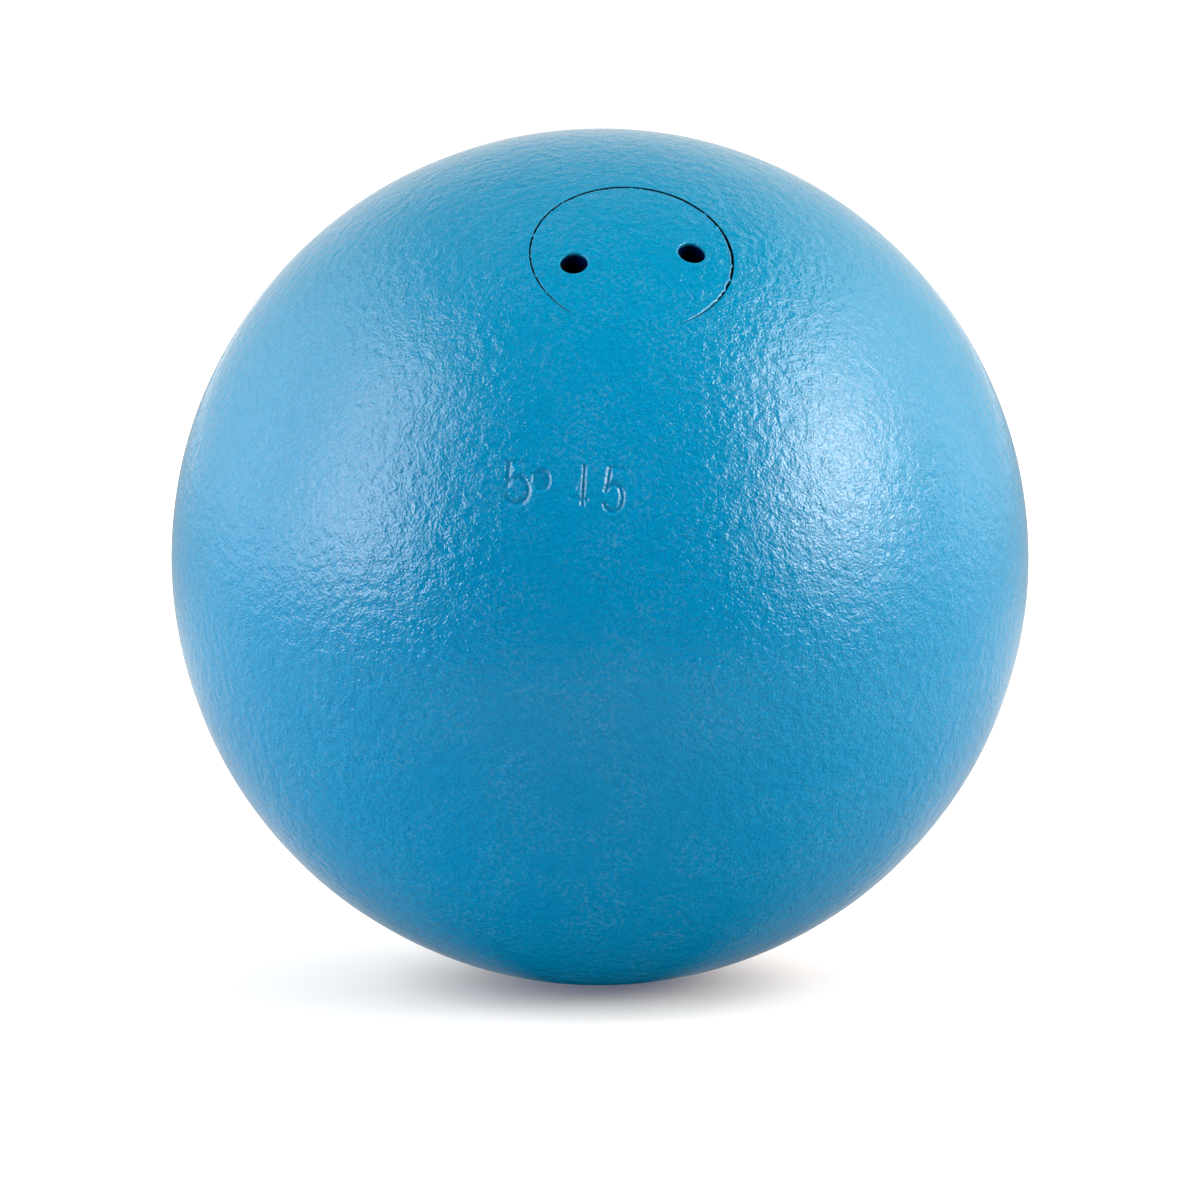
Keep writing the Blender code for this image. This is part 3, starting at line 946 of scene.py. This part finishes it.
# Studio
studio = {
    "cameraAzimuth": -6.5,
    "cameraElevation": 6.5,
    "cameraDistance": 974,
    "focal": 7274 / 1200,    # focal length in image widths
    "shiftUp": -43.3 / 1200,
    "lightDistance": 1800,
    # azimuth from the camera and elevation, from and to, as seen from the ball, then radiance
    "panels": {
        "leftBoxFoot": (-84, -66, -4, 12, 6.8),
        "leftBox": (-84, -66, 12, 50, 5.9),
        "leftBoxEdgeFoot": (-66, -51, -4, 12, 8.5),
        "leftBoxEdge": (-66, -51, 12, 30, 4.6),
        "leftBoxEdgeTop": (-66, -51, 30, 50, 2.6),
        "leftWall": (-130, -84, -4, 50, 2.1),
        "rightBoxEdgeFoot": (51, 66, -4, 12, 6.6),
        "rightBoxEdge": (51, 66, 12, 30, 8.2),
        "rightBoxFoot": (66, 84, -4, 12, 4.6),
        "rightBox": (66, 84, 12, 30, 15.3),
        "rightBoxTop": (66, 84, 30, 50, 10.2),
        "rightWing": (84, 104, 12, 30, 2.1),
        "rightWingTop": (84, 104, 30, 50, 4.8),
        "rightWall": (104, 130, -4, 50, 2.2),
        "backRight": (130, 155, -4, 50, 0.95),
        "backdrop": (155, 230, -4, 30, 0.84),
        "backdropTop": (155, 230, 30, 50, 0.53),
        "leftRoof": (-150, -90, 50, 72, 0.46),
        "backRoof": (150, 210, 50, 72, 0.29),
    },
    "fill": (-50, -25, 5, 30, 3.7),      # softens the shade only, the gloss doesn't see it
    "fillColour": (0.1, 0.8, 1.25),      # cool, as from a sky
    "dusk": 0.02,            # light of the room between the panels
    # Light that the floor gives, by distance from where the ball stands: to the ball's gloss from in front of
    # it, beside it and behind it, and to its colour
    "floorInFront": [(30, 0), (80, 0.18), (140, 0.46), (240, 0), (450, 0), (1000, 0)],
    "floorBeside": [(30, 0.21), (80, 0.35), (140, 0.79), (240, 0.55), (450, 0.8), (1000, 3)],
    "floorBehind": [(30, 0.45), (80, 0.65), (140, 0.6), (240, 0.9), (450, 0.54), (1000, 0.4)],
    "floorSpill": [(30, 0.62), (80, 0.86), (140, 0.43), (240, 0), (450, 0), (1000, 0)],
    # painted light that the camera gets besides, by distance from where the ball stands: low beside the ball, so
    # that it paints the shadow's shape, and a little warm so that the shadow stays grey in the ball's blue light
    "floorPaintedLight": [(10, (0.09, 0.01, 0)), (16, (0.125, 0.05, 0.01)), (22, (0.19, 0.13, 0.1)),
                  (35, (0.33, 0.3, 0.295)), (50, (0.43, 0.41, 0.41)), (120, (0.65, 0.65, 0.65)),
                  (1000, (1, 1, 1))],
    # warm, so that the ball's blue light on the floor comes out grey in its shadow
    "floorColour": (0.88, 0.78, 0.7, 1),
    "frontFrom": (0.24, 0.7),            # cosine from the camera's side where the front begins and is whole
    "backFrom": (-0.16, -0.5),
    "floorReach": 6000,
    # The sweep is white where the photograph looks and pale grey at its sides
    "sideGrey": 0.78,
    "whiteReach": (160, 900),            # distance at which the white begins to fade and has gone
    "whiteBehind": (0.9, 0.975),         # cosine from straight behind where it fades in and is whole
}


def makeCamera():
    camera = bpy.data.objects.new("camera", bpy.data.cameras.new("camera"))
    back = outFrom(studio["cameraAzimuth"], studio["cameraElevation"])
    camera.location = back * studio["cameraDistance"] * mm
    camera.rotation_euler = back.to_track_quat("Z", "Y").to_euler()
    camera.data.lens = studio["focal"] * camera.data.sensor_width
    camera.data.shift_y = studio["shiftUp"]
    bpy.context.scene.collection.objects.link(camera)
    bpy.context.scene.camera = camera


def makePanel(name, left, right, bottom, top, radiance):
    light = bpy.data.lights.new(name, "AREA")
    light.shape = "RECTANGLE"
    azimuth, elevation = (left + right) / 2, (bottom + top) / 2
    distance = studio["lightDistance"] * mm
    across = (right - left) * math.cos(math.radians(elevation))
    light.size = 2 * distance * math.tan(math.radians(across / 2))
    light.size_y = 2 * distance * math.tan(math.radians((top - bottom) / 2))
    light.energy = radiance * math.pi * light.size * light.size_y
    panel = bpy.data.objects.new(name, light)
    away = outFrom(studio["cameraAzimuth"] + azimuth, elevation)
    panel.location = away * distance
    panel.rotation_euler = away.to_track_quat("Z", "Y").to_euler()
    panel.visible_camera = False
    bpy.context.scene.collection.objects.link(panel)
    return panel


def makeLights():
    for name, place in studio["panels"].items():
        makePanel(name, *place)
    fill = makePanel("fill", *studio["fill"])
    fill.visible_glossy = False
    fill.data.color = studio["fillColour"]


def makeRoom():
    # What the camera sees round the floor, and a little light for all else
    world = bpy.data.worlds.new("studio")
    bpy.context.scene.world = world
    world.use_nodes = True
    tree = world.node_tree
    way = addNode(tree, "VectorMath", {0: addNode(tree, "TexCoord").outputs["Generated"],
                                       1: outFrom(studio["cameraAzimuth"] + 180, 0)}, operation="DOT_PRODUCT")
    fadesIn, whole = studio["whiteBehind"]
    white = addNode(tree, "MapRange", {"Value": way, "From Min": fadesIn, "From Max": whole,
                                       "To Min": studio["sideGrey"]})
    shade = addNode(tree, "Mix", {"Factor": addNode(tree, "LightPath").outputs["Is Camera Ray"],
                                  "A": grey(studio["dusk"]), "B": white}, data_type="RGBA")
    feed(tree, tree.nodes["Background"], {"Color": shade})


def whiteSweep():
    # Matt white paper, with the ball's shadow painted into its glow to the camera. What it gives the ball follows
    # the tables in studio, and its far sides turn pale grey.
    material, tree, shader, place = newMaterial("whiteSweep", {"Roughness": 0.9,
                                                               "Base Color": studio["floorColour"],
                                                               "Emission Strength": 1})
    path = addNode(tree, "LightPath").outputs
    reach = addNode(tree, "VectorMath", {0: place}, operation="LENGTH")
    outermost = studio["floorSpill"][-1][0]
    share = addNode(tree, "Math", {0: reach, 1: outermost * mm}, operation="DIVIDE")
    front, shine, back, spill, lift = [
        addNode(tree, "ValToRGB", {"Fac": share},
                [(distance / outermost, (*light, 1) if isinstance(light, tuple) else grey(light))
                 for distance, light in studio[name]])
        for name in ("floorInFront", "floorBeside", "floorBehind", "floorSpill", "floorPaintedLight")]
    # Painted light: the floor's glow to the camera, weak beside the ball and whole further out, paints its shadow
    feed(tree, shader, {"Emission Color": lift})

    bearing = addNode(tree, "VectorMath", {0: place}, operation="NORMALIZE")
    toCamera = intoPlugFrame(outFrom(studio["cameraAzimuth"], 0)).normalized()
    bearing = addNode(tree, "VectorMath", {0: bearing, 1: toCamera}, operation="DOT_PRODUCT")
    for other, (begins, whole) in ((front, studio["frontFrom"]), (back, studio["backFrom"])):
        weight = addNode(tree, "MapRange", {"Value": bearing, "From Min": begins, "From Max": whole})
        shine = addNode(tree, "Mix", {"Factor": weight, "A": shine, "B": other}, data_type="RGBA")
    toBall = addNode(tree, "Mix", {"Factor": path["Is Glossy Ray"], "A": spill, "B": shine}, data_type="RGBA")
    glow = addNode(tree, "Emission", {"Color": toBall})

    begins, gone = studio["whiteReach"]
    far = addNode(tree, "MapRange", {"Value": reach, "From Min": begins * mm, "From Max": gone * mm})
    fadesIn, whole = studio["whiteBehind"]
    beside = addNode(tree, "MapRange", {"Value": bearing, "From Min": -whole, "From Max": -fadesIn})
    faded = addNode(tree, "Math", {0: far, 1: beside}, operation="MULTIPLY")
    pale = addNode(tree, "Emission", {"Color": grey(studio["sideGrey"])})
    seen = addNode(tree, "MixShader", {0: faded, 1: shader, 2: pale})
    above = addNode(tree, "MixShader", {0: path["Is Camera Ray"], 1: glow, 2: seen})
    # Clear from underneath, so that the ball's underside can be looked at
    oneSided = addNode(tree, "MixShader", {0: addNode(tree, "NewGeometry").outputs["Backfacing"], 1: above,
                                           2: addNode(tree, "BsdfTransparent")})
    feed(tree, tree.nodes["Material Output"], {"Surface": oneSided})
    return material


def makeFloor():
    bm = bmesh.new()
    bmesh.ops.create_circle(bm, segments=96, radius=studio["floorReach"] * mm, cap_ends=True)
    mesh = bpy.data.meshes.new("floor")
    bm.to_mesh(mesh)
    bm.free()
    mesh.materials.append(whiteSweep())
    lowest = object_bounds()[0][2]
    floor = bpy.data.objects.new("floor", mesh)
    floor.location.z = lowest
    bpy.context.scene.collection.objects.link(floor)


makeCamera()
blue, grimeAndPaintedShade = sprayedBlueEnamel(), mottled("packedGrimeAndPaintedShade", packedGrimeAndPaintedShade)
makeBall(blue, mottled("boredGreyIron", boredIron), grimeAndPaintedShade)
makePlug(blue, mottled("turnedMildSteel", turnedSteel), grimeAndPaintedShade)
makePacking(mottled("pressedWoolFelt", pressedFelt), turnedBeech())
makeLoad(mottled("oxidisedLead", castLead))
makeLights()
makeRoom()
makeFloor()
bpy.context.scene.view_settings.view_transform = "Standard"
print("studio: camera, lights and floor")
